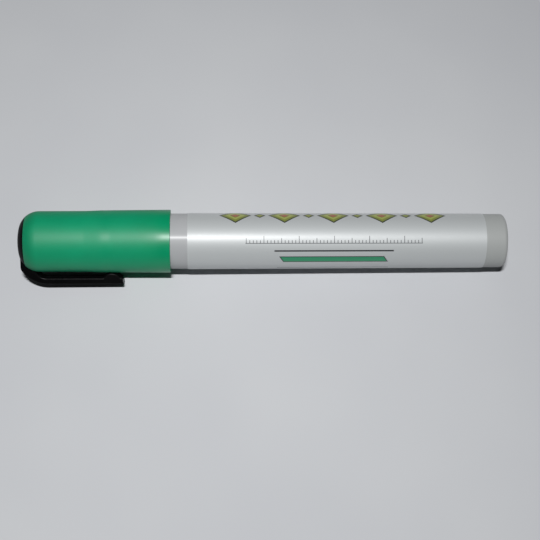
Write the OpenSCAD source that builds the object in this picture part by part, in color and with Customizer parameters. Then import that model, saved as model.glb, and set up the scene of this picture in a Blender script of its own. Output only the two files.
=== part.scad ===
// Arrow cresting pen: a valve-action paint marker with a chisel nib, capped and lying on its side.
// The origin is the centre of the tail's flat face. +X runs along the pen to the crown of the
// cap, and +Z is up. The clip is rolled down on the +Y side, so that the pen lies on its cap, its
// tail and the clip's lower edge, and doesn't roll.

/* [Barrel] */
// Length from the tail's face to the seat of the cap
barrel_len = 96.5; // [85:0.5:110]
// Diameter of the bare band at the tail
tail_d = 15.5; // [15:0.1:16.2]
// Diameter at the seat of the cap
front_d = 15.9; // [15.4:0.1:16.6]
// Diameter of the paint chamber
bore_d = 13; // [12:0.1:13.4]
// Thickness of the closed end
tail_wall = 1.8; // [1:0.1:4]
// Radius of the rounded edge at the tail
tail_round = 1.1; // [0.3:0.1:2]
// Length of the bare band between the tail's face and the label
tail_band = 6.3; // [4:0.1:12]
// Diameter of the neck that the cap slides on
neck_d = 14.7; // [14.2:0.1:15]
// Length of the neck ahead of the seat
neck_len = 8; // [6:0.5:12]
// Height of the snap bead on the neck
bead_h = 0.12; // [0.05:0.01:0.2]
// Length of the snap bead
bead_len = 1.6; // [0.8:0.1:3]

/* [Label] */
// Thickness of the wrap label
label_t = 0.1; // [0.05:0.01:0.3]
// Length of bare barrel between the label and the cap
collar_len = 4.9; // [3:0.1:10]

/* [Front section] */
// Length of the plug inside the neck
plug_len = 16.5; // [15:0.5:24]
// Thickness of the flange that stops on the neck's end
flange_t = 1.5; // [0.8:0.1:3]
// Diameter of the land that the inner cap seals on
land_d = 11.2; // [10.2:0.1:12]
// Length of that land
land_len = 5.5; // [3:0.1:8]
// Length of the tapered nose
nose_len = 6.5; // [4:0.1:10]
// Diameter at the end of the nose
nose_d = 8.8; // [8:0.1:10]

/* [Nib] */
// Diameter of the felt rod
nib_d = 6; // [4.5:0.1:6.8]
// Length of the nib that shows ahead of the nose
nib_out = 8.5; // [6:0.1:12]
// Length of the chisel's long bevel
chisel_len = 4.5; // [2:0.1:5.5]
// Length of the chisel's short bevel
chisel_back = 1.2; // [0.4:0.1:2]
// Width of the writing edge
chisel_edge = 1.2; // [0.4:0.1:2]

/* [Valve] */
// Outside diameter of the valve body
valve_d = 9.2; // [8.8:0.1:10.5]
// Wall of the valve body
valve_wall = 1.2; // [0.8:0.1:1.4]
// Length of the valve body
valve_len = 15.5; // [14:0.5:20]
// Length of the valve body that stands out behind the plug
valve_out = 1.5; // [0.5:0.1:4]
// Travel of the nib and the rod from shut to open
valve_travel = 2.5; // [1:0.1:3]
// Thickness of the seat at the front of the valve body
seat_t = 1.5; // [1:0.1:2.5]
// Diameter of the hole in the seat and its seal
seat_hole_d = 3.4; // [3:0.1:4]
// Thickness of the rubber seal
seal_t = 0.8; // [0.4:0.1:1.4]
// Diameter of the rod's pin, which the nib pushes
pin_d = 2.6; // [2:0.1:2.8]
// Diameter of the rod's sealing head
head_d = 5.8; // [5:0.1:6.2]
// Thickness of the rod's sealing head
head_t = 1.2; // [0.8:0.1:2]
// Diameter of the rod's stem, inside the spring
stem_d = 2.2; // [1.6:0.1:2.6]
// Length of the stem that stands out behind the spring plate
stem_out = 1; // [0.5:0.1:3]
// Thickness of the spring plate inside the valve body
plate_t = 2; // [1:0.1:3]
// Thickness of the spring plate's lip
lip_t = 1; // [0.5:0.1:2]
// Diameter of a paint port in the spring plate
port_d = 1.1; // [0.6:0.1:1.4]
// Number of paint ports
port_count = 4; // [2:1:6]
// Mean diameter of the spring
spring_d = 4.4; // [4:0.1:4.8]
// Diameter of the spring's wire
spring_wire = 0.5; // [0.3:0.05:0.6]
// Number of turns in the spring
spring_turns = 6; // [4:1:8]

/* [Mixing balls] */
// Diameter of a mixing ball
ball_d = 6; // [4:0.1:6.2]
// Number of mixing balls
ball_count = 2; // [1:1:4]

/* [Cap] */
// Outside diameter at the mouth
cap_mouth_d = 18.1; // [17.6:0.1:19]
// Outside diameter on the mouth's side of the shallow step
cap_mid_d = 17.75; // [17.4:0.05:18.2]
// Height of the shallow step
cap_step = 0.16; // [0.05:0.01:0.3]
// Length of the step's slope
cap_step_len = 3.9; // [1:0.1:6]
// Distance of the step from the crown's tip
cap_step_at = 23.7; // [18:0.1:27]
// Outside diameter where the shoulder begins
cap_top_d = 17.34; // [16.9:0.02:17.6]
// Radius of the shoulder
shoulder_r = 5.75; // [4.5:0.05:6.5]
// Radius of the crown's dome
dome_r = 19; // [14:0.5:40]
// Diameter of the crown's rim, which lies on the shoulder
crown_d = 14.4; // [13:0.1:15]
// Depth of the end wall's inner face behind the crown's tip
cap_end = 7; // [6:0.1:9]
// Depth of the crown's recess behind its rim
crown_seat = 1.6; // [1:0.1:2.4]
// Diameter of the crown's plug
crown_plug_d = 8; // [6:0.1:9]

/* [Inner cap] */
// Free space between the nib's tip and the end of the inner cap
tip_clear = 5; // [4.4:0.1:8]
// Thickness of the inner cap's end
liner_end = 1.5; // [0.8:0.1:3]
// Wall of the inner cap
liner_wall = 0.9; // [0.6:0.1:1.2]
// Length of the collar that is pressed into the sleeve
liner_collar = 11; // [6:0.5:16]
// Diameter of that collar
liner_collar_d = 14.4; // [14:0.1:14.8]
// Space between the flange and the inner cap's mouth
liner_mouth_gap = 0.6; // [0.2:0.1:2]

/* [Clip] */
// Width of the clip
clip_w = 5.1; // [3:0.1:7]
// Thickness of the clip's arm
clip_t = 1.46; // [1:0.02:2]
// Space between the arm and the shoulder of the cap
clip_gap = 1.81; // [1.2:0.01:2.6]
// Distance of the arm's end from the crown's tip
clip_len = 30; // [24:0.5:38]
// Slant of the arm's end
clip_slant = 0.4; // [0:0.1:1]
// Distance of the clip's flat root from the crown's tip
clip_back = 0.75; // [0.4:0.05:1]
// Outside radius of the bend
clip_bend_r = 5.94; // [4.5:0.02:7]
// Distance of the closed end of the gap from the crown's tip
clip_gap_at = 4.9; // [4.6:0.1:5.4]
// Radius of that closed end
clip_gap_r = 3.1; // [1:0.1:3.2]
// Distance of the flex line from the crown's tip
clip_flex_at = 9; // [8.8:0.1:12]
// Distance of the bump from the arm's end
bump_back = 0.95; // [0.6:0.05:3]
// Length of the bump
bump_len = 4.85; // [3:0.05:7]
// Space between the bump and the sleeve
bump_clear = 0.2; // [0.1:0.02:0.6]
// Roll of the clip below the horizontal, in degrees
clip_roll = 40; // [0:1:90]

/* [Fits] */
// Gap between faces that are pressed, glued or touching
press_gap = 0.02; // [0.01:0.01:0.04]
// Radial clearance of what slides
slide_gap = 0.06; // [0.03:0.01:0.1]
// Free play left behind the nib at full travel
stop_gap = 0.3; // [0.1:0.1:0.8]

/* [Hidden] */
$fn = 64;
ARC_STEPS = 12;
RINGS_PER_TURN = 8;
WIRE_SIDES = 6;
GREY = "#A6A9AC";
FILM = "#E2E4E6";
GREEN = "#1B8C62";
BLACK = "#17181A";
NATURAL = "#ECEAE2";
FELT = "#F4F1E6";
STEEL = "#B9BCC0";

// Radii of the barrel and of what fits it
tail_r = tail_d / 2;
front_r = front_d / 2;
bore_r = bore_d / 2;
neck_r = neck_d / 2;
ball_r = ball_d / 2;
label_end = barrel_len - collar_len;

// Stations of the front section and the nib along the pen
neck_end = barrel_len + neck_len;
plug_rear = neck_end - plug_len;
land_start = neck_end + flange_t;
land_end = land_start + land_len;
nose_end = land_end + nose_len;
nib_tip = nose_end + nib_out;

// Stations and radii of the valve
valve_r = valve_d / 2;
valve_bore_r = valve_r - valve_wall;
valve_front = plug_rear + valve_len - valve_out;
valve_rear = valve_front - valve_len;
nib_rear = valve_front + valve_travel + stop_gap;
seal_front = valve_front - seat_t;
seal_rear = seal_front - seal_t;
head_front = seal_rear - press_gap;
head_rear = head_front - head_t;
plate_front = valve_rear + plate_t;
plate_rear = valve_rear - lip_t;

// Stations and radii of the cap
cap_mouth = barrel_len + slide_gap;
liner_mouth = land_start + liner_mouth_gap;
liner_floor = nib_tip + tip_clear;
end_wall = liner_floor + liner_end;
collar_start = end_wall - liner_collar;
pen_len = end_wall + cap_end;
cap_bore_r = neck_r + bead_h + slide_gap;
cap_top_r = cap_top_d / 2;
cap_mid_r = cap_mid_d / 2;
liner_r = land_d / 2 + slide_gap;

// The end of the cap is a dome that runs into the shoulder with no break
shoulder_ring_r = cap_top_r - shoulder_r;
shoulder_at = dome_r - sqrt(pow(dome_r - shoulder_r, 2) - pow(shoulder_ring_r, 2));
shoulder_centre = [shoulder_ring_r, from_tip(shoulder_at)];
dome_angle = atan2(dome_r - shoulder_at, shoulder_ring_r);
rim_r = crown_d / 2;
rim_angle = shoulder_angle(rim_r, shoulder_r);
rim_at = shoulder_at - shoulder_r * sin(rim_angle);
crown_floor = from_tip(rim_at + crown_seat);

// Radii of the clip
clip_inner_r = cap_top_r + clip_gap;
clip_outer_r = clip_inner_r + clip_t;
bump_at = clip_len - bump_back - bump_len / 2;
bump_h = clip_inner_r - sleeve_r(bump_at) - bump_clear;
bump_r = (pow(bump_len / 2, 2) + pow(bump_h, 2)) / (2 * bump_h);

// Station of a point that lies a distance behind the crown's tip
function from_tip(distance) = pen_len - distance;

// Angle at which the shoulder, or its offset of a radius, reaches a distance from the axis
function shoulder_angle(from_axis, r) = acos((from_axis - shoulder_ring_r) / r);

// Points of an arc in the plane of a profile
function arc(centre, r, start, end) = [
    for (i = [0:ARC_STEPS])
        let (a = start + (end - start) * i / ARC_STEPS) centre + r * [cos(a), sin(a)]
];

// Outside radius of the tapered barrel at a station
function barrel_r(station) =
    tail_r + (front_r - tail_r) * (station - tail_band) / (barrel_len - tail_band);

// Outside radius of the sleeve on the mouth's side of its step
function sleeve_r(behind_tip) =
    cap_mid_r + (cap_mouth_d / 2 - cap_mid_r) * (behind_tip - cap_step_at)
        / (from_tip(cap_mouth) - cap_step_at);

// Lays what was built along Z down along X
module lay() {
    rotate([0, 90, 0]) children();
}

// A turned shape, from a profile of [radius, station] points
module turned(profile) {
    lay() rotate_extrude() polygon(profile);
}

// A flat shape on the clip's side, from a profile of [distance from the axis, station] points
module clip_plate(profile) {
    lay() rotate([0, 0, 90 - clip_roll]) rotate([90, 0, 0])
        linear_extrude(clip_w, center = true) polygon(profile);
}

// Barrel with its closed tail, the seat of the cap, and the neck with its snap bead
module barrel() {
    bead_at = barrel_len + neck_len / 2;
    color(GREY) turned(concat(
        [[0, 0]],
        arc([tail_r - tail_round, tail_round], tail_round, -90, 0),
        [
            [tail_r, tail_band],
            [front_r, barrel_len],
            [neck_r, barrel_len],
            [neck_r, bead_at - bead_len / 2],
            [neck_r + bead_h, bead_at],
            [neck_r, bead_at + bead_len / 2],
            [neck_r, neck_end],
            [bore_r, neck_end],
            [bore_r, tail_wall],
            [0, tail_wall],
        ]
    ));
}

// Wrap label, glued round the barrel
module label() {
    tail_side = barrel_r(tail_band) + press_gap;
    cap_side = barrel_r(label_end) + press_gap;
    color(FILM) turned([
        [tail_side, tail_band],
        [tail_side + label_t, tail_band],
        [cap_side + label_t, label_end],
        [cap_side, label_end],
    ]);
}

// Nib holder, pressed into the neck, with the chamber for the valve
module front_section() {
    nib_bore_r = nib_d / 2 + slide_gap;
    chamber_r = valve_r + press_gap;
    color(NATURAL) turned([
        [chamber_r, plug_rear],
        [bore_r - press_gap, plug_rear],
        [bore_r - press_gap, neck_end],
        [neck_r, neck_end],
        [neck_r, land_start],
        [land_d / 2, land_start],
        [land_d / 2, land_end],
        [nose_d / 2, nose_end],
        [nib_bore_r, nose_end],
        [nib_bore_r, valve_front],
        [chamber_r, valve_front],
    ]);
}

// Felt rod with a chisel tip
module nib() {
    nib_r = nib_d / 2;
    color(FELT) lay() intersection() {
        translate([0, 0, nib_rear]) cylinder(r = nib_r, h = nib_tip - nib_rear);
        rotate([90, 0, 0]) linear_extrude(2 * nib_d, center = true) polygon([
            [-nib_d, nib_rear],
            [nib_d, nib_rear],
            [nib_d, nib_tip - chisel_back],
            [nib_r, nib_tip - chisel_back],
            [nib_r - chisel_edge / 2, nib_tip],
            [nib_r - 3 * chisel_edge / 2, nib_tip],
            [-nib_r, nib_tip - chisel_len],
            [-nib_d, nib_tip - chisel_len],
        ]);
    }
}

// Cup that holds the seal, the rod and the spring
module valve_body() {
    color(NATURAL) turned([
        [seat_hole_d / 2, valve_front],
        [valve_r, valve_front],
        [valve_r, valve_rear],
        [valve_bore_r, valve_rear],
        [valve_bore_r, seal_front],
        [seat_hole_d / 2, seal_front],
    ]);
}

// Rubber ring behind the seat
module valve_seal() {
    color(BLACK) turned([
        [seat_hole_d / 2, seal_rear],
        [valve_bore_r - press_gap, seal_rear],
        [valve_bore_r - press_gap, seal_front],
        [seat_hole_d / 2, seal_front],
    ]);
}

// Rod that the nib pushes off the seal
module valve_rod() {
    color(NATURAL) turned([
        [0, plate_rear - stem_out],
        [stem_d / 2, plate_rear - stem_out],
        [stem_d / 2, head_rear],
        [head_d / 2, head_rear],
        [head_d / 2, head_front],
        [pin_d / 2, head_front],
        [pin_d / 2, nib_rear - press_gap],
        [0, nib_rear - press_gap],
    ]);
}

// Points of the spring's wire: one ring of points for each step along the helix
spring_rings = spring_turns * RINGS_PER_TURN;
spring_start = plate_front + press_gap + spring_wire / 2;
spring_rise = head_rear - press_gap - spring_wire / 2 - spring_start;
function spring_centre(i) =
    let (a = 360 * i / RINGS_PER_TURN)
    [spring_d / 2 * cos(a), spring_d / 2 * sin(a), spring_start + spring_rise * i / spring_rings];
function spring_ring(i) =
    let (a = 360 * i / RINGS_PER_TURN)
    [
        for (k = [0:WIRE_SIDES - 1])
            let (b = 360 * k / WIRE_SIDES, out = spring_wire / 2 * cos(b))
            spring_centre(i) + [out * cos(a), out * sin(a), spring_wire / 2 * sin(b)]
    ];
spring_gap = min([
    for (i = [0:spring_rings - RINGS_PER_TURN])
        norm(spring_centre(i + RINGS_PER_TURN) - spring_centre(i)) - spring_wire
]);
echo("least gap between the turns of the spring", spring_gap);

// Compression spring between the spring plate and the rod's head
module valve_spring() {
    points = [for (i = [0:spring_rings]) each spring_ring(i)];
    last = spring_rings * WIRE_SIDES;
    faces = concat(
        [
            for (i = [0:spring_rings - 1], k = [0:WIRE_SIDES - 1], half = [0, 1])
                let (
                    here = i * WIRE_SIDES,
                    next = here + WIRE_SIDES,
                    side = (k + 1) % WIRE_SIDES
                )
                half == 0
                    ? [here + k, next + k, here + side]
                    : [here + side, next + k, next + side]
        ],
        [for (k = [1:WIRE_SIDES - 2]) [0, k, k + 1]],
        [for (k = [1:WIRE_SIDES - 2]) [last, last + k + 1, last + k]]
    );
    color(STEEL) lay() polyhedron(points, faces);
}

// Plate that closes the valve body, guides the stem and lets paint in
module spring_plate() {
    guide_r = stem_d / 2 + slide_gap;
    plate_r = valve_bore_r - press_gap;
    port_ring_r = (guide_r + plate_r) / 2;
    color(NATURAL) difference() {
        turned([
            [guide_r, plate_rear],
            [valve_r, plate_rear],
            [valve_r, valve_rear],
            [plate_r, valve_rear],
            [plate_r, plate_front],
            [guide_r, plate_front],
        ]);
        lay() for (i = [0:port_count - 1])
            rotate([0, 0, 360 * i / port_count]) translate([port_ring_r, 0, plate_rear - lip_t])
                cylinder(d = port_d, h = plate_t + 3 * lip_t);
    }
}

// Steel balls that stir the paint, resting at the bottom of the chamber
module mixing_balls() {
    drop = bore_r - ball_r - slide_gap;
    color(STEEL) lay() for (i = [0:ball_count - 1])
        translate([drop, 0, tail_wall + slide_gap + ball_r + i * (ball_d + slide_gap)])
            sphere(ball_r);
}

// Sleeve of the cap, with its shallow step and its round shoulder
module cap_sleeve() {
    collar_seat_r = liner_collar_d / 2 + press_gap;
    plug_hole_r = crown_plug_d / 2 + press_gap;
    color(GREEN) turned(concat(
        [
            [cap_bore_r, cap_mouth],
            [cap_mouth_d / 2, cap_mouth],
            [cap_mid_r, from_tip(cap_step_at)],
            [cap_mid_r - cap_step, from_tip(cap_step_at - cap_step_len)],
        ],
        arc(shoulder_centre, shoulder_r, 0, rim_angle),
        [
            [rim_r, crown_floor],
            [plug_hole_r, crown_floor],
            [plug_hole_r, end_wall],
            [collar_seat_r, end_wall],
            [collar_seat_r, collar_start],
            [cap_bore_r, collar_start],
        ]
    ));
}

// The space of the sleeve's shoulder, from the wall of the crown's recess outward
module shoulder_space() {
    wall_r = rim_r - press_gap;
    outer_r = shoulder_r + press_gap;
    turned(concat(
        [[wall_r, end_wall], [shoulder_ring_r + outer_r, end_wall]],
        arc(shoulder_centre, outer_r, 0, shoulder_angle(wall_r, outer_r))
    ));
}

// Domed crown with its plug, and the root of the clip over the shoulder
module cap_crown() {
    plug_r = crown_plug_d / 2;
    blank_r = rim_r + 10 * press_gap;
    dome_step = (90 - dome_angle) / ARC_STEPS;
    root_r = plug_r / 2;
    root_floor = from_tip(rim_at + crown_seat / 2);
    gap_r = min(clip_gap_r, clip_inner_r - rim_r - press_gap);
    color(BLACK) difference() {
        union() {
            turned(concat(
                [
                    [0, end_wall + press_gap],
                    [plug_r, end_wall + press_gap],
                    [plug_r, crown_floor + press_gap],
                    [blank_r, crown_floor + press_gap],
                ],
                arc(shoulder_centre, shoulder_r, shoulder_angle(blank_r, shoulder_r), dome_angle),
                arc([0, from_tip(dome_r)], dome_r, dome_angle + dome_step, 90)
            ));
            clip_plate(concat(
                [[root_r, root_floor], [root_r, from_tip(clip_back)]],
                arc(
                    [clip_outer_r - clip_bend_r, from_tip(clip_back + clip_bend_r)],
                    clip_bend_r, 90, 0
                ),
                [[clip_outer_r, from_tip(clip_flex_at)], [clip_inner_r, from_tip(clip_flex_at)]],
                arc([clip_inner_r - gap_r, from_tip(clip_gap_at + gap_r)], gap_r, 0, 90),
                [[rim_r, from_tip(clip_gap_at)], [rim_r, root_floor]]
            ));
        }
        shoulder_space();
    }
}

// Seal cup inside the cap, which keeps the nib from drying
module inner_cap() {
    collar_r = liner_collar_d / 2;
    cup_r = liner_r + liner_wall;
    color(NATURAL) turned([
        [0, liner_floor],
        [liner_r, liner_floor],
        [liner_r, liner_mouth],
        [cup_r, liner_mouth],
        [cup_r, collar_start],
        [collar_r, collar_start],
        [collar_r, end_wall],
        [0, end_wall],
    ]);
}

// Arm of the clip from its flex line to its end, with the bump that grips the cloth
module pocket_clip() {
    bump_half = asin(bump_len / 2 / bump_r);
    color(BLACK) clip_plate(concat(
        [
            [clip_inner_r, from_tip(clip_flex_at + press_gap)],
            [clip_outer_r, from_tip(clip_flex_at + press_gap)],
            [clip_outer_r, from_tip(clip_len)],
            [clip_inner_r, from_tip(clip_len - clip_slant)],
        ],
        arc(
            [clip_inner_r - bump_h + bump_r, from_tip(bump_at)],
            bump_r, 180 + bump_half, 180 - bump_half
        )
    ));
}

barrel();
label();
front_section();
nib();
valve_body();
valve_seal();
valve_rod();
valve_spring();
spring_plate();
mixing_balls();
cap_sleeve();
cap_crown();
inner_cap();
pocket_clip();
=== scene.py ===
"""Arrow cresting pen: the looks of a capped valve-action paint marker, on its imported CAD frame."""

import math

import bmesh
import bpy
from mathutils import Matrix, Vector


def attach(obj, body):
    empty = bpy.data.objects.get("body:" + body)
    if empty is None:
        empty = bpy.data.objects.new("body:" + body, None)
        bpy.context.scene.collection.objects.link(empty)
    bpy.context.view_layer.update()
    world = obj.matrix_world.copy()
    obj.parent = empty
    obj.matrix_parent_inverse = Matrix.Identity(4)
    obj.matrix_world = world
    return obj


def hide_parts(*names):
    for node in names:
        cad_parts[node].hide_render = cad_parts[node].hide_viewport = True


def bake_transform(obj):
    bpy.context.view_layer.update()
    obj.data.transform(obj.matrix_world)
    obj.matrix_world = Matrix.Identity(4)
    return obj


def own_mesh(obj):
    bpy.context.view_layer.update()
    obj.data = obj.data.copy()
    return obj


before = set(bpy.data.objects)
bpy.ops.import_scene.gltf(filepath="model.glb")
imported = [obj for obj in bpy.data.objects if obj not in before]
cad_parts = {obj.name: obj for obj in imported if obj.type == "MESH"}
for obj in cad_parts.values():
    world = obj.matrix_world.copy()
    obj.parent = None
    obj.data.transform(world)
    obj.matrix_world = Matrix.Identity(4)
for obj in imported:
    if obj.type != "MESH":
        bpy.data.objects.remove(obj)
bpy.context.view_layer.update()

MM = 0.001
TURN_STEPS, ARC_STEPS, ROUND_STEPS, EDGE_STEPS = 160, 16, 4, 3
SHARP_EDGE, NIB_EDGE = math.radians(35), math.radians(20)

# Sizes in mm, as in the part's source. A station is a distance from the tail's face along +X. The clip's
# places, and that of its bump, are distances behind the crown's tip. Three things differ from the source:
# the cap's mouth is drawn up to its seat, without the play that the fit leaves there, the clip's bend has
# a longer sweep than the solid's quarter round, and the clip's arm is a little thicker.
PEN_LEN = 140.0
GLUE, SLIDE = 0.02, 0.06
TAIL_R, FRONT_R, BORE_R = 7.75, 7.95, 6.5
TAIL_BAND, TAIL_ROUND, TAIL_WALL = 6.3, 1.1, 1.8
DIMPLE_DEEP, DIMPLE_R, DIMPLE_RIM_R = 0.15, 0.5, 0.7
BARREL_LEN, NECK_R, NECK_END = 96.5, 7.35, 104.5
BEAD_AT, BEAD_HALF, BEAD_H = 100.5, 0.8, 0.12
LABEL_END, LABEL_T, LABEL_SEAM = 91.6, 0.1, 0.3
HOLDER_REAR, CHAMBER_END, CHAMBER_R = 88.0, 102.0, 4.62
LAND_R, LAND_START, LAND_END = 5.6, 106.0, 111.5
NOSE_R, NOSE_END = 4.4, 118.0
NIB_R, NIB_REAR, NIB_TIP = 3.0, 104.8, 126.5
CHISEL_LEN, CHISEL_BACK, CHISEL_EDGE = 4.5, 1.2, (-1.2, -2.4)
NIB_SIDES, NIB_WORN = 64, 0.18
PLATE_FRONT, HEAD_REAR, VALVE_TRAVEL = 88.5, 98.48, 2.5
SPRING_R, SPRING_WIRE, SPRING_TURNS = 2.2, 0.5, 6
WIRE_STEPS, WIRE_SIDES = 32, 12
CAP_MOUTH, CAP_MOUTH_R, CAP_BORE_R = 96.51, 9.05, 7.53
CAP_MID_R, CAP_TOP_R, CAP_STEP = 8.875, 8.67, 0.16
STEP_START, STEP_END = 116.3, 120.2
COLLAR_START, COLLAR_R, END_WALL = 122.0, 7.2, 133.0
SHOULDER_R, DOME_R, RIM_R = 5.75, 19.0, 7.2
CROWN_SEAT, PLUG_R = 1.6, 4.0
LINER_R, LINER_WALL, LINER_MOUTH, LINER_FLOOR = 5.66, 0.9, 106.6, 131.5
CLIP_W, CLIP_INNER_R, CLIP_OUTER_R = 5.1, 10.35, 12.0
CLIP_BACK, CLIP_LEN, CLIP_SLANT = 0.75, 30.0, 0.4
CLIP_BEND_R, CLIP_BEND_AT = 9.0, 8.45
CLIP_ROOT_R, CLIP_ROOT_AT = 2.6, 2.6
CLIP_GAP_R, CLIP_GAP_AT, CLIP_GAP_TURN = 3.1, 4.9, math.radians(72)
CLIP_SEAT, CLIP_SEAT_TURNS, CLIP_SEAT_STEPS = 0.5, (math.radians(17), math.radians(41)), 8
CLIP_ROUND, CLIP_CORNER, CLIP_END_ZONE = 0.22, 0.5, 0.6
CLIP_FLEX_AT, CLIP_FLEX_HALF, CLIP_FLEX_STEPS = 9.0, 2.0, 8
BUMP_AT, BUMP_HALF, BUMP_H, BUMP_STEPS = 26.625, 2.425, 1.38, 10
CLIP_ROLL = math.radians(40)

# Points closer than this are one, in mm: where doubles are merged, and where edges are picked or cut
MERGE, NEAR = 0.001, 0.01

# The dome of the crown runs into the sleeve's shoulder with no break
SHOULDER_RING_R = CAP_TOP_R - SHOULDER_R
SHOULDER_AT = DOME_R - math.sqrt((DOME_R - SHOULDER_R) ** 2 - SHOULDER_RING_R**2)
SHOULDER_CENTRE = (PEN_LEN - SHOULDER_AT, SHOULDER_RING_R)
DOME_ANGLE = math.atan2(DOME_R - SHOULDER_AT, SHOULDER_RING_R)
RIM_ANGLE = math.acos((RIM_R - SHOULDER_RING_R) / SHOULDER_R)
CROWN_FLOOR = SHOULDER_CENTRE[0] + SHOULDER_R * math.sin(RIM_ANGLE) - CROWN_SEAT


def from_tip(distance):
    """Station of a point that lies a distance behind the crown's tip."""
    return PEN_LEN - distance


def arc(centre, radius, start, end, steps=ARC_STEPS):
    """Points of an arc in a profile's plane, as (station, radius) in mm. An angle of 0 points outward."""
    angles = [start + (end - start) * i / steps for i in range(steps + 1)]
    return [(centre[0] + radius * math.sin(a), centre[1] + radius * math.cos(a)) for a in angles]


# Finishes

# Sizes of the patterns in mm. The grain of the plastics, the cap's grit, the film's pearl, the felt's fibre
# and the steel's grain are coarser than the real ones, so that they show.
FLOW, CAP_CLOUD, CAP_GRIT, PEARL, RIPPLE = 9.0, 6.0, 0.35, 0.5, 12.0
FIBRE, STEEL_GRAIN, BOARD_CLOUD = 0.18, 0.3, 60.0
# The values of a noise between which its ramps run
LOW, HIGH = 0.3, 0.7


def linear(colour):
    """An sRGB hex value as a linear colour."""
    values = [int(colour[i : i + 2], 16) / 255 for i in (1, 3, 5)]
    return [v / 12.92 if v <= 0.04045 else ((v + 0.055) / 1.055) ** 2.4 for v in values] + [1]


def finish_named(name):
    """An empty node material."""
    material = bpy.data.materials.new(name)
    material.use_nodes = True
    material.node_tree.nodes.clear()
    return material


def add(material, kind, inputs=None, stops=None, **settings):
    """Adds a node. An input is a value, the socket that feeds it, or a node that feeds it by its first
    socket. Stops are those of a colour ramp."""
    node = material.node_tree.nodes.new("ShaderNode" + kind)
    for name, value in settings.items():
        setattr(node, name, value)
    for name, value in (inputs or {}).items():
        if isinstance(value, bpy.types.Node):
            value = value.outputs[0]
        if isinstance(value, bpy.types.NodeSocket):
            material.node_tree.links.new(value, node.inputs[name])
        else:
            node.inputs[name].default_value = value
    for i, (position, colour) in enumerate(stops or []):
        steps = node.color_ramp.elements
        step = steps[i] if i < len(steps) else steps.new(position)
        step.position, step.color = position, colour
    return node


def moulded(name, colour, mottle, ior, rough, grain, bump=0.02, coat=0.0, specular=0.5, tail=None):
    """Moulded plastic: a faint mottle in the colour, a fine grain from the tool and a few dull patches. A
    tail colour is painted shade: the bare band at the closed end is drawn darker, for the weaker light
    there."""
    material = finish_named(name)
    place = add(material, "TexCoord").outputs["Object"]
    flow = add(material, "TexNoise", {"Vector": place, "Scale": 1 / (FLOW * MM), "Detail": 2})
    tint = add(material, "ValToRGB", {0: flow}, stops=[(LOW, linear(colour)), (HIGH, linear(mottle))])
    # painted shade: the tail band is drawn darker than the rest of the barrel
    if tail:
        station = add(material, "SeparateXYZ", {0: place}).outputs["X"]
        near = add(
            material, "MapRange", {0: station, 1: TAIL_BAND * MM, 2: 2 * TAIL_BAND * MM, 3: 1.0, 4: 0.0}
        )
        tint = add(material, "Mix", {0: near, 6: tint, 7: linear(tail)}, data_type="RGBA").outputs[2]
    pits = add(material, "TexNoise", {"Vector": place, "Scale": 1 / (grain * MM), "Detail": 3})
    dull = add(material, "MapRange", {0: flow, 1: LOW, 2: HIGH, 3: rough - 0.04, 4: rough + 0.05})
    relief = add(material, "Bump", {"Strength": bump, "Distance": 0.1 * MM, "Height": pits})
    shader = add(
        material,
        "BsdfPrincipled",
        {
            "Base Color": tint,
            "Diffuse Roughness": 0.2,
            "Roughness": dull,
            "IOR": ior,
            "Specular IOR Level": specular,
            "Normal": relief,
            "Coat Weight": coat,
            "Coat Roughness": 0.24,
        },
    )
    add(material, "OutputMaterial", {"Surface": shader})
    return material


# Colour and roughness of the cap at stations along it
CAP_TINTS = [
    (CAP_MOUTH, "#008C5E"),
    (103.5, "#008F62"),
    (107.0, "#009064"),
    (121.0, "#009266"),
    (122.5, "#009266"),
    (134.0, "#008F63"),
    (136.0, "#00845A"),
]
CAP_POLISH = [
    (CAP_MOUTH, 0.35),
    (98.5, 0.36),
    (101.0, 0.45),
    (103.5, 0.49),
    (106.0, 0.51),
    (112.8, 0.515),
    (113.7, 0.465),
    (115.0, 0.465),
    (117.0, 0.55),
    (STEP_END, 0.55),
    (121.0, 0.515),
    (PEN_LEN, 0.56),
]


def translucent_cap():
    """Polypropylene, dyed green and moulded: a satin tool face, glossier at the mouth. The wall lets light
    through, so it is paler where the white inner cap is pressed against it, and deeper over the neck."""
    material = finish_named("Green_polypropylene_satin")
    place = add(material, "TexCoord").outputs["Object"]
    station = add(material, "SeparateXYZ", {0: place}).outputs["X"]
    share = add(material, "MapRange", {0: station, 1: CAP_MOUTH * MM, 2: PEN_LEN * MM, 3: 0.0, 4: 1.0})
    span = PEN_LEN - CAP_MOUTH
    stops = [((x - CAP_MOUTH) / span, linear(colour)) for x, colour in CAP_TINTS]
    depth = add(material, "ValToRGB", {0: share}, stops=stops)
    cloud = add(material, "TexNoise", {"Vector": place, "Scale": 1 / (CAP_CLOUD * MM), "Detail": 2})
    uneven = add(material, "MapRange", {0: cloud, 1: LOW, 2: HIGH, 3: 0.96, 4: 1.03})
    tint = add(material, "HueSaturation", {"Color": depth, "Value": uneven})
    polish = [((x - CAP_MOUTH) / span, (rough, rough, rough, 1)) for x, rough in CAP_POLISH]
    gloss = add(material, "ValToRGB", {0: share}, stops=polish)
    grit = add(material, "TexNoise", {"Vector": place, "Scale": 1 / (CAP_GRIT * MM), "Detail": 3})
    relief = add(material, "Bump", {"Strength": 0.05, "Distance": 0.1 * MM, "Height": grit})
    shader = add(
        material,
        "BsdfPrincipled",
        {
            "Base Color": tint,
            "Roughness": gloss,
            "IOR": 1.49,
            "Specular IOR Level": 0.4,
            "Normal": relief,
            "Subsurface Weight": 0.12,
            "Subsurface Radius": (0.3, 1.0, 0.6),
            "Subsurface Scale": 0.8 * MM,
        },
    )
    add(material, "OutputMaterial", {"Surface": shader})
    return material


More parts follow.
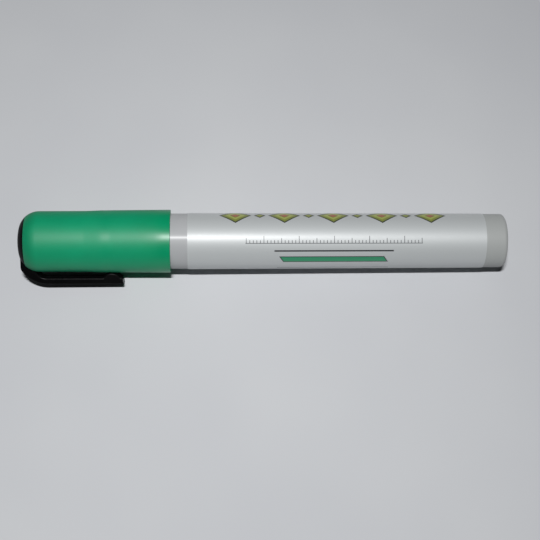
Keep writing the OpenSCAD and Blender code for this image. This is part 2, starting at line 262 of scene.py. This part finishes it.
# The print on the label, in mm along the barrel, and round it from the top line
PRINT_MID = 50.0
ROW_HALF, LOZENGE_STEP, LOZENGE_LINE = 33.0, 14.0, -5.0
BIG_LOZENGE, SMALL_LOZENGE, SMALL_FILL = (4.6, 3.5), (1.7, 1.3), 0.62
RULE_HALF, RULE_LINE, RULE_LINE_HALF, TICK_HALF = 25.2, 4.6, 0.1, 0.11
TICKS = [(1, 0.8), (5, 1.4), (10, 2.0)]
RULE_INK = "#54585B"
# Half length, line, half height, slant of the ends and ink of each bar. A later one lies over the others
BARS = [
    (RULE_HALF, RULE_LINE + RULE_LINE_HALF, RULE_LINE_HALF, 0.0, RULE_INK),
    (17.0, 6.9, 0.22, 0.0, "#1E2124"),
    (15.0, 9.7, 1.05, 0.6, "#1E2124"),
    (14.7, 9.7, 0.8, 0.6, "#1C8C60"),
    (16.0, 13.9, 0.16, 0.0, "#4A4E52"),
]


def printed_film():
    """PVC film with a satin silver-white face, flexo print and a clear laminate over it, which gives the
    soft bright line along the top. The print is read along the barrel in mm from the tail, and round it in
    mm from the top line."""
    material = finish_named("Silver_white_film_printed")
    place = add(material, "TexCoord").outputs["Object"]
    xyz = add(material, "SeparateXYZ", {0: place})
    along = add(material, "Math", {0: xyz.outputs["X"], 1: 1 / MM}, operation="MULTIPLY")
    turn = add(material, "Math", {0: xyz.outputs["Y"], 1: xyz.outputs["Z"]}, operation="ARCTAN2")
    around = add(material, "Math", {0: turn, 1: FRONT_R}, operation="MULTIPLY")

    def bar(half_len, at, half_height, slant):
        """Where a printed bar lies. Slanted ends are those of a stroke of a chisel nib."""
        leaning = add(material, "Math", {0: around, 1: slant, 2: along}, operation="MULTIPLY_ADD")
        middle = PRINT_MID + slant * at
        length = add(material, "Math", {0: leaning, 1: middle, 2: half_len}, operation="COMPARE")
        height = add(material, "Math", {0: around, 1: at, 2: half_height}, operation="COMPARE")
        return add(material, "Math", {0: length, 1: height}, operation="MULTIPLY")

    def lozenges(first, half_len, half_height):
        """How far out a point lies in the nearest lozenge of a row: 0 at its middle and 1 on its edge."""
        past = add(material, "Math", {0: along, 1: first}, operation="SUBTRACT")
        off = add(material, "Math", {0: past, 1: LOZENGE_STEP / 2}, operation="PINGPONG")
        above = add(material, "Math", {0: around, 1: LOZENGE_LINE}, operation="SUBTRACT")
        up = add(material, "Math", {0: above}, operation="ABSOLUTE")
        share = add(material, "Math", {0: up, 1: half_height}, operation="DIVIDE")
        return add(material, "Math", {0: off, 1: 1 / half_len, 2: share}, operation="MULTIPLY_ADD")

    # A row of olive lozenges with rust middles and dark outlines, and small ones between them
    row = add(material, "Math", {0: along, 1: PRINT_MID, 2: ROW_HALF}, operation="COMPARE")
    ink, clear = linear("#2B2F2A"), linear("#B9BDBE")
    big = lozenges(PRINT_MID, *BIG_LOZENGE)
    bands = add(
        material,
        "ValToRGB",
        {0: add(material, "Math", {0: big, 1: 0.5}, operation="MULTIPLY")},
        stops=[
            (0.0, linear("#A5623C")),
            (0.13, ink),
            (0.16, linear("#A3AB57")),
            (0.30, linear("#7F8840")),
            (0.43, ink),
            (0.50, clear),
        ],
    )
    bands.color_ramp.interpolation = "CONSTANT"
    film = add(material, "Mix", {0: row, 6: clear, 7: bands}, data_type="RGBA").outputs[2]
    small = lozenges(PRINT_MID - LOZENGE_STEP / 2, *SMALL_LOZENGE)
    for edge, colour in [(1.0, ink), (SMALL_FILL, linear("#8F9848"))]:
        inside = add(material, "Math", {0: small, 1: edge}, operation="LESS_THAN")
        mask = add(material, "Math", {0: row, 1: inside}, operation="MULTIPLY")
        film = add(material, "Mix", {0: mask, 6: film, 7: colour}, data_type="RGBA").outputs[2]

    # A rule for spacing crests on a shaft: ticks at 1, 5 and 10 mm over a base line
    for step, length in TICKS:
        off = add(material, "Math", {0: along, 1: step / 2}, operation="PINGPONG")
        near = add(material, "Math", {0: off, 1: TICK_HALF}, operation="LESS_THAN")
        strip = bar(RULE_HALF, RULE_LINE - length / 2, length / 2, 0.0)
        mask = add(material, "Math", {0: near, 1: strip}, operation="MULTIPLY")
        film = add(material, "Mix", {0: mask, 6: film, 7: linear(RULE_INK)}, data_type="RGBA").outputs[2]

    # The rule's base line, and a stroke in the paint's colour between dark lines
    for half_len, at, half_height, slant, colour in BARS:
        mask = bar(half_len, at, half_height, slant)
        film = add(material, "Mix", {0: mask, 6: film, 7: linear(colour)}, data_type="RGBA").outputs[2]

    pearl = add(material, "TexNoise", {"Vector": place, "Scale": 1 / (PEARL * MM), "Detail": 4})
    sheen = add(material, "MapRange", {0: pearl, 1: LOW, 2: HIGH, 3: 0.56, 4: 0.62})
    wrap = add(material, "TexNoise", {"Vector": place, "Scale": 1 / (RIPPLE * MM), "Detail": 1})
    relief = add(material, "Bump", {"Strength": 0.12, "Distance": 0.15 * MM, "Height": wrap})
    shader = add(
        material,
        "BsdfPrincipled",
        {
            "Base Color": film,
            "Metallic": 0.16,
            "Diffuse Roughness": 0.2,
            "Roughness": sheen,
            "IOR": 1.53,
            "Normal": relief,
            "Coat Weight": 0.9,
            "Coat Roughness": 0.38,
        },
    )
    add(material, "OutputMaterial", {"Surface": shader})
    return material


def felt_rod():
    """Polyester felt, pressed into a rod: off-white, with fibres that run along it and no gloss."""
    material = finish_named("Pressed_polyester_felt")
    place = add(material, "TexCoord").outputs["Object"]
    drawn = add(material, "Mapping", {"Vector": place, "Scale": (0.12, 1, 1)})
    fibre = add(material, "TexNoise", {"Vector": drawn, "Scale": 1 / (FIBRE * MM), "Detail": 4})
    tint = add(
        material, "ValToRGB", {0: fibre}, stops=[(LOW, linear("#DAD5C6")), (HIGH, linear("#F3F0E6"))]
    )
    relief = add(material, "Bump", {"Strength": 0.5, "Distance": 0.08 * MM, "Height": fibre})
    shader = add(
        material,
        "BsdfPrincipled",
        {"Base Color": tint, "Roughness": 0.9, "Normal": relief, "Sheen Weight": 0.2},
    )
    add(material, "OutputMaterial", {"Surface": shader})
    return material


def bright_steel():
    """Drawn steel wire and ball steel: bright, with a fine unevenness in its shine."""
    material = finish_named("Bright_steel")
    place = add(material, "TexCoord").outputs["Object"]
    grain = add(material, "TexNoise", {"Vector": place, "Scale": 1 / (STEEL_GRAIN * MM), "Detail": 3})
    rough = add(material, "MapRange", {0: grain, 1: LOW, 2: HIGH, 3: 0.18, 4: 0.3})
    shader = add(
        material,
        "BsdfPrincipled",
        {"Base Color": linear("#C3C5C8"), "Metallic": 1.0, "Roughness": rough},
    )
    add(material, "OutputMaterial", {"Surface": shader})
    return material


# Soft and semi-matt, with a thin bright line from its smooth skin
GREY_PP = moulded(
    "Grey_polypropylene_moulded",
    "#A4A6A8",
    "#A9ABAD",
    ior=1.49,
    rough=0.58,
    grain=0.4,
    coat=0.17,
    # painted shade: a darker grey for the bare tail band, where less light reaches
    tail="#A1A4A3",
)
# From a polished tool: black, with low glints along its edges
BLACK_ABS = moulded(
    "Black_ABS_gloss", "#060607", "#0A0A0B", ior=1.54, rough=0.29, grain=0.5, bump=0.01, specular=0.1
)
# From a textured tool: black, with next to no shine
BLACK_SATIN = moulded(
    "Black_ABS_satin", "#060607", "#0A0A0B", ior=1.54, rough=0.5, grain=0.3, bump=0.05, specular=0.05
)
# Undyed: milky and waxy
NATURAL_PP = moulded("Natural_polypropylene", "#DEDBD0", "#E6E3D8", ior=1.49, rough=0.42, grain=0.4)
# Dull and finely pitted
SEAL_RUBBER = moulded(
    "Nitrile_rubber", "#17181A", "#1D1E20", ior=1.52, rough=0.65, grain=0.2, bump=0.1
)
GREEN_PP = translucent_cap()
FILM = printed_film()
FELT = felt_rod()
STEEL = bright_steel()


# Pieces


def piece(name, bm):
    """An object from a bmesh: smooth but for sharp edges, and its broad faces true up to their roundings."""
    mesh = bpy.data.meshes.new(name)
    bm.to_mesh(mesh)
    bm.free()
    mesh.shade_smooth()
    mesh.set_sharp_from_angle(angle=SHARP_EDGE)
    obj = bpy.data.objects.new(name, mesh)
    bpy.context.scene.collection.objects.link(obj)
    obj.modifiers.new("true_faces", "WEIGHTED_NORMAL").keep_sharp = True
    return obj


def everything(bm):
    """All the geometry of a bmesh."""
    return bm.verts[:] + bm.edges[:] + bm.faces[:]


def soften(bm, geom, size, steps, affect="EDGES", clamp_overlap=False):
    """Rounds edges, or the corners of a profile, by a size in mm."""
    bmesh.ops.bevel(
        bm,
        geom=geom,
        offset=size * MM,
        offset_type="OFFSET",
        segments=steps,
        profile=0.5,
        affect=affect,
        material=-1,
        clamp_overlap=clamp_overlap,
    )


def turned(name, profile, ring=False):
    """A piece turned on the pen's axis from (station, radius) points in mm. A third number is a rounding."""
    bm = bmesh.new()
    corners = [bm.verts.new((p[0] * MM, 0, p[1] * MM)) for p in profile]
    for pair in zip(corners, corners[1:] + corners[: 1 if ring else 0]):
        bm.edges.new(pair)
    for corner, p in zip(corners, profile):
        if len(p) > 2:
            soften(bm, [corner], p[2], ROUND_STEPS, affect="VERTICES")
    bmesh.ops.spin(
        bm,
        geom=bm.verts[:] + bm.edges[:],
        cent=(0, 0, 0),
        axis=(1, 0, 0),
        angle=2 * math.pi,
        steps=TURN_STEPS,
        use_merge=True,
    )
    bmesh.ops.remove_doubles(bm, verts=bm.verts, dist=MERGE * MM)
    bmesh.ops.recalc_face_normals(bm, faces=bm.faces)
    return piece(name, bm)


def dress(obj, body, finish, node):
    """Gives a piece its finish, and puts it on its body in place of its CAD node."""
    obj.data.materials.append(finish)
    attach(obj, body)
    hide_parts(node)


def make_barrel():
    """Tube with a closed tail, which has a gate dimple, the seat of the cap, and a neck with a snap bead."""
    return turned(
        "barrel_tube",
        [
            (DIMPLE_DEEP, 0.0),
            (DIMPLE_DEEP, DIMPLE_R),
            (0.0, DIMPLE_RIM_R),
            (0.0, TAIL_R, TAIL_ROUND),
            (TAIL_BAND, TAIL_R),
            (BARREL_LEN, FRONT_R, 0.04),
            (BARREL_LEN, NECK_R, 0.1),
            (BEAD_AT - BEAD_HALF, NECK_R, 0.3),
            (BEAD_AT, NECK_R + BEAD_H, 0.4),
            (BEAD_AT + BEAD_HALF, NECK_R, 0.3),
            (NECK_END, NECK_R, 0.2),
            (NECK_END, BORE_R),
            (TAIL_WALL, BORE_R, 0.4),
            (TAIL_WALL, 0.0),
        ],
    )


def make_label():
    """Film wrapped once round the barrel, with its butt seam on the underside."""

    def barrel_r(station):
        return TAIL_R + (FRONT_R - TAIL_R) * (station - TAIL_BAND) / (BARREL_LEN - TAIL_BAND)

    seam = LABEL_SEAM / FRONT_R
    bm = bmesh.new()
    low, high = barrel_r(TAIL_BAND) + GLUE, barrel_r(LABEL_END) + GLUE
    outline = [
        (TAIL_BAND, low),
        (TAIL_BAND, low + LABEL_T),
        (LABEL_END, high + LABEL_T),
        (LABEL_END, high),
    ]
    face = bm.faces.new([bm.verts.new((x * MM, 0, -r * MM)) for x, r in outline])
    bmesh.ops.rotate(bm, verts=bm.verts, matrix=Matrix.Rotation(seam / 2, 3, "X"))
    bmesh.ops.spin(
        bm,
        geom=[face, *face.verts, *face.edges],
        cent=(0, 0, 0),
        axis=(1, 0, 0),
        angle=2 * math.pi - seam,
        steps=TURN_STEPS,
    )
    bmesh.ops.recalc_face_normals(bm, faces=bm.faces)
    return piece("wrap_label", bm)


def make_front_section():
    """Nib holder: a plug in the neck, a flange, a land for the inner cap and a tapered nose."""
    return turned(
        "nib_holder",
        [
            (HOLDER_REAR, CHAMBER_R),
            (HOLDER_REAR, BORE_R - GLUE, 0.3),
            (NECK_END, BORE_R - GLUE),
            (NECK_END, NECK_R, 0.15),
            (LAND_START, NECK_R, 0.2),
            (LAND_START, LAND_R, 0.15),
            (LAND_END, LAND_R, 0.3),
            (NOSE_END, NOSE_R, 0.35),
            (NOSE_END, NIB_R + SLIDE, 0.2),
            (CHAMBER_END, NIB_R + SLIDE),
            (CHAMBER_END, CHAMBER_R),
        ],
        ring=True,
    )


def make_nib():
    """Felt rod, cut to a chisel with a long and a short bevel, its edges worn soft."""
    middle = Matrix.Translation(((NIB_TIP + NIB_REAR) / 2 * MM, 0, 0))
    bevels = [
        ((NIB_TIP, CHISEL_EDGE[0]), (NIB_TIP - CHISEL_LEN, NIB_R)),
        ((NIB_TIP, CHISEL_EDGE[1]), (NIB_TIP - CHISEL_BACK, -NIB_R)),
    ]
    bm = bmesh.new()
    bmesh.ops.create_cone(
        bm,
        cap_ends=True,
        segments=NIB_SIDES,
        radius1=NIB_R * MM,
        radius2=NIB_R * MM,
        depth=(NIB_TIP - NIB_REAR) * MM,
        matrix=middle @ Matrix.Rotation(math.pi / 2, 4, "Y"),
    )
    for near, far in bevels:
        slope = Vector((far[0] - near[0], 0, far[1] - near[1]))
        out = Vector((abs(slope.z), 0, math.copysign(abs(slope.x), slope.z)))
        cut = bmesh.ops.bisect_plane(
            bm,
            geom=everything(bm),
            plane_co=(near[0] * MM, 0, near[1] * MM),
            plane_no=out,
            clear_outer=True,
        )
        edges = [e for e in cut["geom_cut"] if isinstance(e, bmesh.types.BMEdge)]
        bmesh.ops.contextual_create(bm, geom=edges)
    bmesh.ops.recalc_face_normals(bm, faces=bm.faces)
    sharp = [e for e in bm.edges if e.calc_face_angle(0) > NIB_EDGE]
    soften(bm, sharp, NIB_WORN, EDGE_STEPS, clamp_overlap=True)
    return piece("felt_nib", bm)


def make_spring():
    """Coil of drawn wire between the spring plate and the head of the valve's rod."""
    start, end = PLATE_FRONT + GLUE + SPRING_WIRE / 2, HEAD_REAR - GLUE - SPRING_WIRE / 2
    steps = SPRING_TURNS * WIRE_STEPS
    first = Matrix.Translation((start * MM, 0, -SPRING_R * MM))
    bm = bmesh.new()
    bmesh.ops.create_circle(
        bm,
        cap_ends=True,
        segments=WIRE_SIDES,
        radius=SPRING_WIRE / 2 * MM,
        matrix=first @ Matrix.Rotation(math.pi / 2, 4, "X"),
    )
    bmesh.ops.spin(
        bm,
        geom=everything(bm),
        cent=(0, 0, 0),
        axis=(1, 0, 0),
        dvec=((end - start) / steps * MM, 0, 0),
        angle=2 * math.pi * SPRING_TURNS,
        steps=steps,
    )
    bmesh.ops.recalc_face_normals(bm, faces=bm.faces)
    return piece("coil_spring", bm)


def make_sleeve():
    """Green sleeve of the cap: a slight taper, a shallow step and a round shoulder that meets the crown."""
    shoulder = arc(SHOULDER_CENTRE, SHOULDER_R, 0, RIM_ANGLE)
    return turned(
        "cap_sleeve_shell",
        [
            (CAP_MOUTH, CAP_BORE_R, 0.3),
            (CAP_MOUTH, CAP_MOUTH_R, 0.04),
            (STEP_START, CAP_MID_R, 0.6),
            (STEP_END, CAP_MID_R - CAP_STEP, 0.6),
            *shoulder[:-1],
            (*shoulder[-1], 0.1),
            (CROWN_FLOOR, RIM_R),
            (CROWN_FLOOR, PLUG_R + GLUE),
            (END_WALL, PLUG_R + GLUE),
            (END_WALL, COLLAR_R + GLUE),
            (COLLAR_START, COLLAR_R + GLUE),
            (COLLAR_START, CAP_BORE_R, 0.2),
        ],
        ring=True,
    )


def make_crown():
    """Black domed crown, pressed into the sleeve, its rim just broken."""
    rim = RIM_R - GLUE
    edge = math.acos((rim - SHOULDER_RING_R) / SHOULDER_R)
    brow = arc(SHOULDER_CENTRE, SHOULDER_R, edge, DOME_ANGLE)
    dome = arc((from_tip(DOME_R), 0.0), DOME_R, DOME_ANGLE, math.pi / 2)
    return turned(
        "crown_dome",
        [
            (END_WALL + GLUE, 0.0),
            (END_WALL + GLUE, PLUG_R, 0.2),
            (CROWN_FLOOR + GLUE, PLUG_R),
            (CROWN_FLOOR + GLUE, rim),
            (*brow[0], 0.1),
            *brow[1:],
            *dome[1:-1],
            (PEN_LEN, 0.0),
        ],
    )


def make_inner_cap():
    """Seal cup that is pressed into the sleeve."""
    return turned(
        "seal_cup",
        [
            (LINER_FLOOR, 0.0),
            (LINER_FLOOR, LINER_R, 0.5),
            (LINER_MOUTH, LINER_R, 0.3),
            (LINER_MOUTH, LINER_R + LINER_WALL, 0.3),
            (COLLAR_START, LINER_R + LINER_WALL),
            (COLLAR_START, COLLAR_R, 0.2),
            (END_WALL, COLLAR_R),
            (END_WALL, 0.0),
        ],
    )


def make_clip():
    """Pocket clip with its bent root, in one sweep from the crown to the tip, its edges rounded."""
    bump_r = (BUMP_HALF**2 + BUMP_H**2) / (2 * BUMP_H)
    bump_angle = math.asin(BUMP_HALF / bump_r)
    bend_start = math.asin((CLIP_BEND_AT - CLIP_BACK) / CLIP_BEND_R)
    bend = arc((from_tip(CLIP_BEND_AT), CLIP_OUTER_R - CLIP_BEND_R), CLIP_BEND_R, bend_start, 0)
    gap_centre = (from_tip(CLIP_GAP_AT + CLIP_GAP_R), CLIP_INNER_R - CLIP_GAP_R)
    gap = arc(gap_centre, CLIP_GAP_R, 0, CLIP_GAP_TURN)
    seat = arc(SHOULDER_CENTRE, SHOULDER_R - CLIP_SEAT, *CLIP_SEAT_TURNS, CLIP_SEAT_STEPS)
    bump_centre = (from_tip(BUMP_AT), CLIP_INNER_R - BUMP_H + bump_r)
    bump = arc(bump_centre, bump_r, math.pi + bump_angle, math.pi - bump_angle, BUMP_STEPS)
    outline = [
        (from_tip(CLIP_BACK), CLIP_ROOT_R),
        *bend,
        (from_tip(CLIP_LEN), CLIP_OUTER_R),
        (from_tip(CLIP_LEN - CLIP_SLANT), CLIP_INNER_R),
        *bump,
        *gap,
        *seat,
        (from_tip(CLIP_ROOT_AT), CLIP_ROOT_R),
    ]
    bm = bmesh.new()
    low = -CLIP_W / 2 * MM
    side = bm.faces.new([bm.verts.new((x * MM, r * MM, low)) for x, r in outline])
    grown = bmesh.ops.extrude_face_region(bm, geom=[side], use_keep_orig=True)
    top = [v for v in grown["geom"] if isinstance(v, bmesh.types.BMVert)]
    bmesh.ops.translate(bm, verts=top, vec=(0, 0, CLIP_W * MM))
    bmesh.ops.recalc_face_normals(bm, faces=bm.faces)
    corner = Vector(bend[0]) * MM
    cross = [e for e in bm.edges if all((v.co.xy - corner).length < NEAR * MM for v in e.verts)]
    soften(bm, cross, CLIP_CORNER, ROUND_STEPS)
    rims = [e for e in bm.edges if abs(e.verts[0].co.z - e.verts[1].co.z) < NEAR * MM]
    end_zone = from_tip(CLIP_LEN - CLIP_END_ZONE) * MM
    ends = [e for e in bm.edges if e not in rims and e.verts[0].co.x < end_zone]
    soften(bm, rims + ends, CLIP_ROUND, EDGE_STEPS, clamp_overlap=True)

    # Cuts across the flex zone, so that the arm can bend there
    for i in range(CLIP_FLEX_STEPS + 1):
        cut_at = CLIP_FLEX_AT - CLIP_FLEX_HALF + i * 2 * CLIP_FLEX_HALF / CLIP_FLEX_STEPS
        bmesh.ops.bisect_plane(
            bm,
            geom=everything(bm),
            dist=NEAR * MM,
            plane_co=(from_tip(cut_at) * MM, 0, 0),
            plane_no=(1, 0, 0),
        )
    bmesh.ops.rotate(bm, verts=bm.verts, matrix=Matrix.Rotation(-CLIP_ROLL, 3, "X"))
    return piece("spring_clip", bm)


dress(make_barrel(), "pen", GREY_PP, "barrel")
dress(make_label(), "pen", FILM, "label")
dress(make_front_section(), "pen", NATURAL_PP, "front_section")
dress(make_nib(), "nib", FELT, "nib")
dress(make_sleeve(), "cap", GREEN_PP, "cap_sleeve")
dress(make_crown(), "cap", BLACK_SATIN, "cap_crown")
dress(make_inner_cap(), "cap", NATURAL_PP, "inner_cap")

# The spring is given a mesh of its own
spring = make_spring()
dress(spring, "pen", STEEL, "valve_spring")
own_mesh(spring)

# The clip is one moulding with the crown; its place is baked into its mesh
clip = make_clip()
clip.data.materials.append(BLACK_ABS)
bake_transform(clip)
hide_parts("pocket_clip")

# The rest of the valve and the balls keep their CAD meshes
for node, finish in [
    ("valve_body", NATURAL_PP),
    ("valve_rod", NATURAL_PP),
    ("spring_plate", NATURAL_PP),
    ("valve_seal", SEAL_RUBBER),
    ("mixing_balls", STEEL),
]:
    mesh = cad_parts[node].data
    mesh.materials.clear()
    mesh.materials.append(finish)


# Floor, light and camera

# The pen lies rolled back by 3 degrees, on its cap's mouth, its tail and the clip's lower edge
TABLE_ROLL = Matrix.Rotation(math.radians(-3), 4, "X")
BACKDROP = "#B4B6BA"

# Sizes and places in mm, on the table before that roll
FLOOR_HALF, FAR_START, FAR_END = 900, 120, 280
KEY_EYE, KEY_AIM = Vector((110, 117, 600)), Vector((84, 8, -9))
KEY_LEN, KEY_DEPTH, KEY_POWER, KEY_SPREAD = 90, 12, 1.22, math.radians(106)
ROOM_STRENGTH = 0.03
CAMERA_EYE, CAMERA_AIM = Vector((85.05, 151.2, 310.01)), Vector((64.06, -24.74, -74.14))
CAMERA_ROLL, CAMERA_LENS, SENSOR_WIDTH = math.radians(-1.478), 79.65, 36.0


def make_floor():
    """Pale matt board, which touches the mouth of the cap and the tail. Far from the pen, the camera sees it
    as pale as the backdrop, so that a low view has no dark horizon."""
    material = finish_named("Matt_pale_board")
    place = add(material, "TexCoord").outputs["Object"]
    cloud = add(material, "TexNoise", {"Vector": place, "Scale": 1 / (BOARD_CLOUD * MM), "Detail": 2})
    tint = add(
        material, "ValToRGB", {0: cloud}, stops=[(LOW, linear("#BEC0C4")), (HIGH, linear("#C3C5C8"))]
    )
    shader = add(material, "BsdfPrincipled", {"Base Color": tint, "Roughness": 0.75})
    away = add(
        material, "VectorMath", {0: place, 1: (PEN_LEN / 2 * MM, 0, 0)}, operation="DISTANCE"
    ).outputs["Value"]
    far = add(
        material,
        "MapRange",
        {0: away, 1: FAR_START * MM, 2: FAR_END * MM, 3: 0.0, 4: 1.0},
        interpolation_type="SMOOTHSTEP",
    )
    seen = add(material, "LightPath").outputs["Is Camera Ray"]
    share = add(material, "Math", {0: far, 1: seen}, operation="MULTIPLY")
    pale = add(material, "Emission", {"Color": linear(BACKDROP)})
    surface = add(material, "MixShader", {0: share, 1: shader, 2: pale})
    add(material, "OutputMaterial", {"Surface": surface})

    bm = bmesh.new()
    bmesh.ops.create_grid(bm, x_segments=1, y_segments=1, size=FLOOR_HALF * MM)
    floor = piece("floor", bm)
    floor.data.materials.append(material)
    slope = math.atan2(CAP_MOUTH_R - TAIL_R, CAP_MOUTH - TAIL_ROUND)
    drop = Matrix.Translation((TAIL_ROUND * MM, 0, -TAIL_R * MM)) @ Matrix.Rotation(slope, 4, "Y")
    floor.matrix_world = TABLE_ROLL @ drop


def looking(eye, aim, roll=0.0):
    """Place and turn of a lamp or camera that looks from eye to aim, in mm, with its width along the pen."""
    ahead = (aim - eye).normalized()
    right = ahead.cross(Vector((0, -1, 0))).normalized()
    up = right.cross(ahead)
    turn = Matrix((right, up, -ahead)).transposed().to_4x4() @ Matrix.Rotation(roll, 4, "Z")
    return TABLE_ROLL @ Matrix.Translation(eye * MM) @ turn


def make_light():
    """A narrow lamp above the lens, which gives the narrow shadow, and a dim room round it. The camera alone
    sees the pale backdrop: nothing outside on the pen is metal or glass that would show it."""
    lamp = bpy.data.lights.new("key", "AREA")
    lamp.shape, lamp.size, lamp.size_y = "RECTANGLE", KEY_LEN * MM, KEY_DEPTH * MM
    lamp.energy, lamp.spread = KEY_POWER, KEY_SPREAD
    key = bpy.data.objects.new("key", lamp)
    key.matrix_world = looking(KEY_EYE, KEY_AIM)
    bpy.context.scene.collection.objects.link(key)

    world = bpy.data.worlds.new("room")
    world.use_nodes = True
    world.node_tree.nodes.clear()
    seen = add(world, "LightPath").outputs["Is Camera Ray"]
    room = add(world, "Background", {"Color": linear("#F4F7FA"), "Strength": ROOM_STRENGTH})
    pale = add(world, "Background", {"Color": linear(BACKDROP)})
    surface = add(world, "MixShader", {0: seen, 1: room, 2: pale})
    add(world, "OutputWorld", {"Surface": surface})
    bpy.context.scene.world = world


def make_camera():
    """The photograph's view: from above the cap's mouth, with the pen's tail to the right."""
    lens = bpy.data.cameras.new("camera")
    lens.sensor_width, lens.lens = SENSOR_WIDTH, CAMERA_LENS
    lens.clip_start, lens.clip_end = 0.01, 10.0
    camera = bpy.data.objects.new("camera", lens)
    camera.matrix_world = looking(CAMERA_EYE, CAMERA_AIM, CAMERA_ROLL)
    bpy.context.scene.collection.objects.link(camera)
    bpy.context.scene.camera = camera


make_floor()
make_light()
make_camera()
bpy.context.scene.view_settings.view_transform = "Standard"
